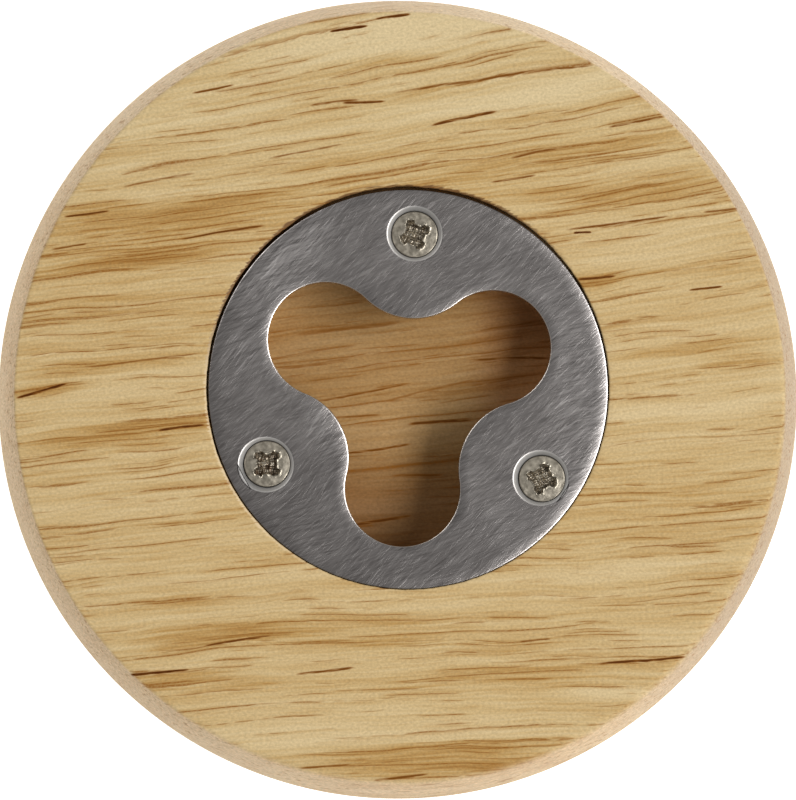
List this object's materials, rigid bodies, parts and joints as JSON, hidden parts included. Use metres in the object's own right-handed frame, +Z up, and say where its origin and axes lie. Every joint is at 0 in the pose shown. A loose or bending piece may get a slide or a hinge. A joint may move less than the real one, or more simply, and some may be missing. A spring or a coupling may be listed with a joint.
{
  "type": "round wooden bottle opener",
  "caption": "Round hardwood disc handle with a steel opener plate let flush into its face; the three-lobed mouth hooks a crown cap over a routed pocket.",
  "frame": {"origin": "centre of the disc's flat underside, on the disc's own axis", "axes": "+Z up along the disc's axis, towards the face with the opener plate; +X along the wood grain; +Y across the grain, towards the top screw"},
  "size_m": [0.08, 0.08, 0.015],
  "materials": {
    "hardwood": "light straight-grained hardwood, sanded and thinly oiled, satin, with dark open pores",
    "plate_steel": "brushed stainless steel with fine hairline scratches, satin",
    "screw_nickel": "nickel plated steel, warm grey, semi-bright"
  },
  "bodies": {
    "root": {"wooden_body": "hardwood", "opener_plate": "plate_steel", "screw_top": "screw_nickel", "screw_left": "screw_nickel", "screw_right": "screw_nickel"}
  },
  "joints": []
}
